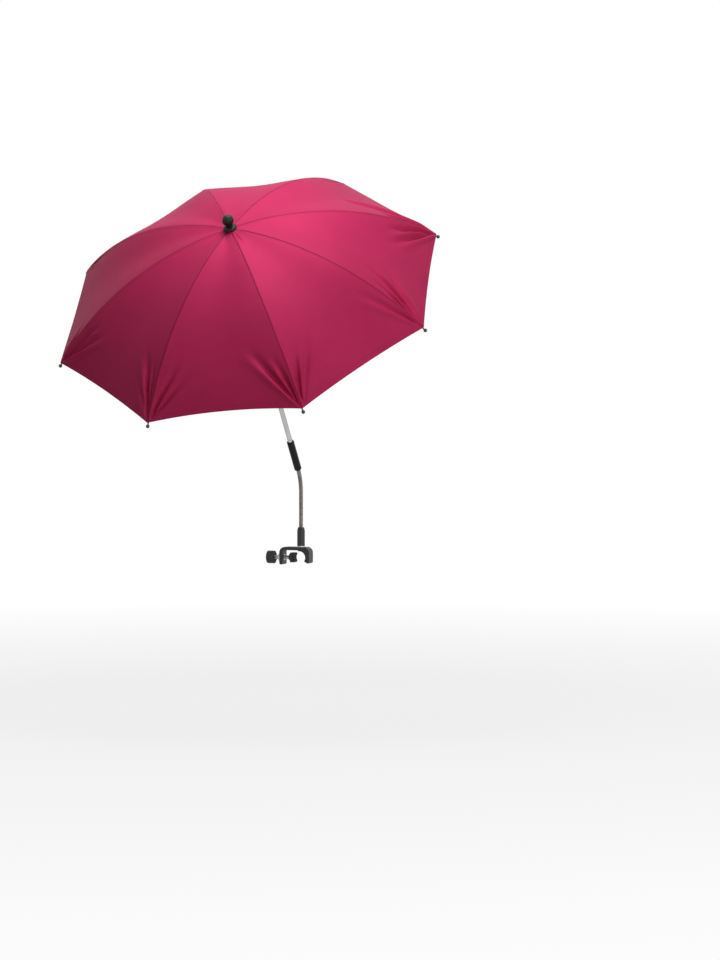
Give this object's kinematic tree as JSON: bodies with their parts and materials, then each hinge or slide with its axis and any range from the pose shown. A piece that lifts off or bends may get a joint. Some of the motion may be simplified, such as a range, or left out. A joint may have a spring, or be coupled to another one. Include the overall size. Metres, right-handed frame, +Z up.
{
  "type": "pram parasol",
  "caption": "Folding pram parasol: round ribbed cloth canopy on a slim mast, with a bendable gooseneck, a swivel foot and a screw clamp for a tube.",
  "frame": {"origin": "centre of the tube that the clamp grips, midway along the jaw", "axes": "+Z up along the swivel, +Y along the gripped tube, the mast leans towards -Y, +X from the clamp's knob towards its jaw"},
  "size_m": [0.723, 0.5735, 0.7434],
  "materials": {
    "cloth": "plain weave, light sheen",
    "rib_steel": "drawn channel",
    "tip_plastic": "moulded",
    "shaft_chrome": "bright",
    "grip_plastic": "moulded",
    "hinge_plastic": "moulded",
    "spring_steel": "drawn wire",
    "neck_steel": "satin grey-brown",
    "inner_metal": "turned",
    "clamp_plastic": "moulded",
    "screw_steel": "rolled thread",
    "grip_rubber": "soft"
  },
  "bodies": {
    "clamp": {"clamp_frame": "clamp_plastic", "jaw_liner": "grip_rubber", "clamp_nut": "inner_metal", "swivel_post": "inner_metal"},
    "pad": {"pressure_pad": "clamp_plastic", "pad_facing": "grip_rubber"},
    "screw": {"clamp_screw": "screw_steel", "clamp_knob": "clamp_plastic"},
    "swivel": {"neck_socket": "clamp_plastic", "swivel_set_screw": "inner_metal"},
    "neck": {"gooseneck_winding": "neck_steel", "gooseneck_core": "neck_steel"},
    "mast": {"neck_coupling": "inner_metal", "grip_sleeve": "grip_plastic", "shaft_tube": "shaft_chrome", "stop_pin": "spring_steel", "crown": "hinge_plastic", "crown_wire": "spring_steel", "canopy_cap": "tip_plastic", "finial_ball": "tip_plastic", "finial_stud": "inner_metal"},
    "latch_top": {"top_latch_spring": "spring_steel"},
    "latch_bottom": {"bottom_latch_spring": "spring_steel"},
    "runner": {"runner": "hinge_plastic", "runner_wire": "spring_steel"},
    "rib_1": {"rib_1": "rib_steel", "tip_1": "tip_plastic", "canopy_section_1": "cloth"},
    "stretcher_1": {"stretcher_1": "rib_steel"},
    "rib_2": {"rib_2": "rib_steel", "tip_2": "tip_plastic", "canopy_section_2": "cloth"},
    "stretcher_2": {"stretcher_2": "rib_steel"},
    "rib_3": {"rib_3": "rib_steel", "tip_3": "tip_plastic", "canopy_section_3": "cloth"},
    "stretcher_3": {"stretcher_3": "rib_steel"},
    "rib_4": {"rib_4": "rib_steel", "tip_4": "tip_plastic", "canopy_section_4": "cloth"},
    "stretcher_4": {"stretcher_4": "rib_steel"},
    "rib_5": {"rib_5": "rib_steel", "tip_5": "tip_plastic", "canopy_section_5": "cloth"},
    "stretcher_5": {"stretcher_5": "rib_steel"},
    "rib_6": {"rib_6": "rib_steel", "tip_6": "tip_plastic", "canopy_section_6": "cloth"},
    "stretcher_6": {"stretcher_6": "rib_steel"},
    "rib_7": {"rib_7": "rib_steel", "tip_7": "tip_plastic", "canopy_section_7": "cloth"},
    "stretcher_7": {"stretcher_7": "rib_steel"},
    "rib_8": {"rib_8": "rib_steel", "tip_8": "tip_plastic", "canopy_section_8": "cloth"},
    "stretcher_8": {"stretcher_8": "rib_steel"}
  },
  "joints": [
    {"name": "screw_turn", "type": "hinge", "parent": "pad", "child": "screw", "pos_m": [0, 0, 0], "axis": [1, 0, 0], "range_deg": [-720, 432]},
    {"name": "pad_slide", "type": "slide", "parent": "clamp", "child": "pad", "axis": [1, 0, 0], "range_m": [-0.01, 0.006]},
    {"name": "swivel_turn", "type": "hinge", "parent": "clamp", "child": "swivel", "pos_m": [0, 0, 0], "axis": [0, 0, 1], "continuous": true},
    {"name": "neck_tilt", "type": "hinge", "parent": "swivel", "child": "neck", "pos_m": [0, 0, 0.0938], "axis": [1, 0, 0], "range_deg": [-80, 30], "deforming": ["gooseneck_winding", "gooseneck_core"]},
    {"name": "neck_lean", "type": "hinge", "parent": "neck", "child": "mast", "pos_m": [0, -0.00381, 0.14839], "axis": [0, 0.9492, 0.3146], "range_deg": [-45, 45]},
    {"name": "top_latch_press", "type": "slide", "parent": "mast", "child": "latch_top", "axis": [0.6018, 0.6118, 0.5134], "range_m": [0, 0.0025], "stiffness_N_per_m": 600},
    {"name": "bottom_latch_press", "type": "slide", "parent": "mast", "child": "latch_bottom", "axis": [0.6018, 0.6118, 0.5134], "range_m": [0, 0.0025], "stiffness_N_per_m": 600},
    {"name": "rib_1_fold", "type": "hinge", "parent": "mast", "child": "rib_1", "pos_m": [-0.00689, -0.39026, 0.61087], "axis": [0.5075, -0.66, -0.5538], "range_deg": [0, 63], "deforming": ["canopy_section_1", "top_latch_spring", "bottom_latch_spring"]},
    {"name": "stretcher_1_turn", "type": "hinge", "parent": "rib_1", "child": "stretcher_1", "pos_m": [-0.1594, -0.4376, 0.52753], "axis": [0.5075, -0.66, -0.5538], "range_deg": [-126, 0]},
    {"name": "rib_2_fold", "type": "hinge", "parent": "mast", "child": "rib_2", "pos_m": [-0.002, -0.39308, 0.60851], "axis": [0.9681, -0.1918, -0.1609], "range_deg": [0, 63], "deforming": ["canopy_section_2"]},
    {"name": "stretcher_2_turn", "type": "hinge", "parent": "rib_2", "child": "stretcher_2", "pos_m": [-0.04632, -0.50287, 0.47276], "axis": [0.9681, -0.1918, -0.1609], "range_deg": [-126, 0]},
    {"name": "rib_3_fold", "type": "hinge", "parent": "mast", "child": "rib_3", "pos_m": [0.00406, -0.39243, 0.60905], "axis": [0.8616, 0.3888, 0.3262], "range_deg": [0, 63], "deforming": ["canopy_section_3"]},
    {"name": "stretcher_3_turn", "type": "hinge", "parent": "rib_3", "child": "stretcher_3", "pos_m": [0.09389, -0.48778, 0.48542], "axis": [0.8616, 0.3888, 0.3262], "range_deg": [-126, 0]},
    {"name": "rib_4_fold", "type": "hinge", "parent": "mast", "child": "rib_4", "pos_m": [0.00775, -0.38868, 0.6122], "axis": [0.2504, 0.7416, 0.6223], "range_deg": [0, 63], "deforming": ["canopy_section_4"]},
    {"name": "stretcher_4_turn", "type": "hinge", "parent": "rib_4", "child": "stretcher_4", "pos_m": [0.17911, -0.40115, 0.55811], "axis": [0.2504, 0.7416, 0.6223], "range_deg": [-126, 0]},
    {"name": "rib_5_fold", "type": "hinge", "parent": "mast", "child": "rib_5", "pos_m": [0.00689, -0.38404, 0.61609], "axis": [-0.5075, 0.66, 0.5538], "range_deg": [0, 63], "deforming": ["canopy_section_5"]},
    {"name": "stretcher_5_turn", "type": "hinge", "parent": "rib_5", "child": "stretcher_5", "pos_m": [0.1594, -0.29374, 0.64824], "axis": [-0.5075, 0.66, 0.5538], "range_deg": [-126, 0]},
    {"name": "rib_6_fold", "type": "hinge", "parent": "mast", "child": "rib_6", "pos_m": [0.002, -0.38122, 0.61846], "axis": [-0.9681, 0.1918, 0.1609], "range_deg": [0, 63], "deforming": ["canopy_section_6"]},
    {"name": "stretcher_6_turn", "type": "hinge", "parent": "rib_6", "child": "stretcher_6", "pos_m": [0.04632, -0.22846, 0.70301], "axis": [-0.9681, 0.1918, 0.1609], "range_deg": [-126, 0]},
    {"name": "rib_7_fold", "type": "hinge", "parent": "mast", "child": "rib_7", "pos_m": [-0.00406, -0.38187, 0.61792], "axis": [-0.8616, -0.3888, -0.3262], "range_deg": [0, 63], "deforming": ["canopy_section_7"]},
    {"name": "stretcher_7_turn", "type": "hinge", "parent": "rib_7", "child": "stretcher_7", "pos_m": [-0.09389, -0.24356, 0.69035], "axis": [-0.8616, -0.3888, -0.3262], "range_deg": [-126, 0]},
    {"name": "rib_8_fold", "type": "hinge", "parent": "mast", "child": "rib_8", "pos_m": [-0.00775, -0.38562, 0.61477], "axis": [-0.2504, -0.7416, -0.6223], "range_deg": [0, 63], "deforming": ["canopy_section_8"]},
    {"name": "stretcher_8_turn", "type": "hinge", "parent": "rib_8", "child": "stretcher_8", "pos_m": [-0.17911, -0.33019, 0.61766], "axis": [-0.2504, -0.7416, -0.6223], "range_deg": [-126, 0]},
    {"name": "runner_guide", "type": "hinge", "parent": "stretcher_1", "child": "runner", "pos_m": [-0.00689, -0.3473, 0.55968], "axis": [0.5075, -0.66, -0.5538], "range_deg": [0, 63]}
  ],
  "couplings": [
    {"joint": "screw_turn", "follows": "pad_slide", "rad_per_m": 1256.6},
    {"joint": "stretcher_1_turn", "follows": "rib_1_fold", "ratio": -2},
    {"joint": "rib_2_fold", "follows": "rib_1_fold", "ratio": 1},
    {"joint": "stretcher_2_turn", "follows": "rib_1_fold", "ratio": -2},
    {"joint": "rib_3_fold", "follows": "rib_1_fold", "ratio": 1},
    {"joint": "stretcher_3_turn", "follows": "rib_1_fold", "ratio": -2},
    {"joint": "rib_4_fold", "follows": "rib_1_fold", "ratio": 1},
    {"joint": "stretcher_4_turn", "follows": "rib_1_fold", "ratio": -2},
    {"joint": "rib_5_fold", "follows": "rib_1_fold", "ratio": 1},
    {"joint": "stretcher_5_turn", "follows": "rib_1_fold", "ratio": -2},
    {"joint": "rib_6_fold", "follows": "rib_1_fold", "ratio": 1},
    {"joint": "stretcher_6_turn", "follows": "rib_1_fold", "ratio": -2},
    {"joint": "rib_7_fold", "follows": "rib_1_fold", "ratio": 1},
    {"joint": "stretcher_7_turn", "follows": "rib_1_fold", "ratio": -2},
    {"joint": "rib_8_fold", "follows": "rib_1_fold", "ratio": 1},
    {"joint": "stretcher_8_turn", "follows": "rib_1_fold", "ratio": -2},
    {"joint": "runner_guide", "follows": "rib_1_fold", "ratio": 1}
  ]
}
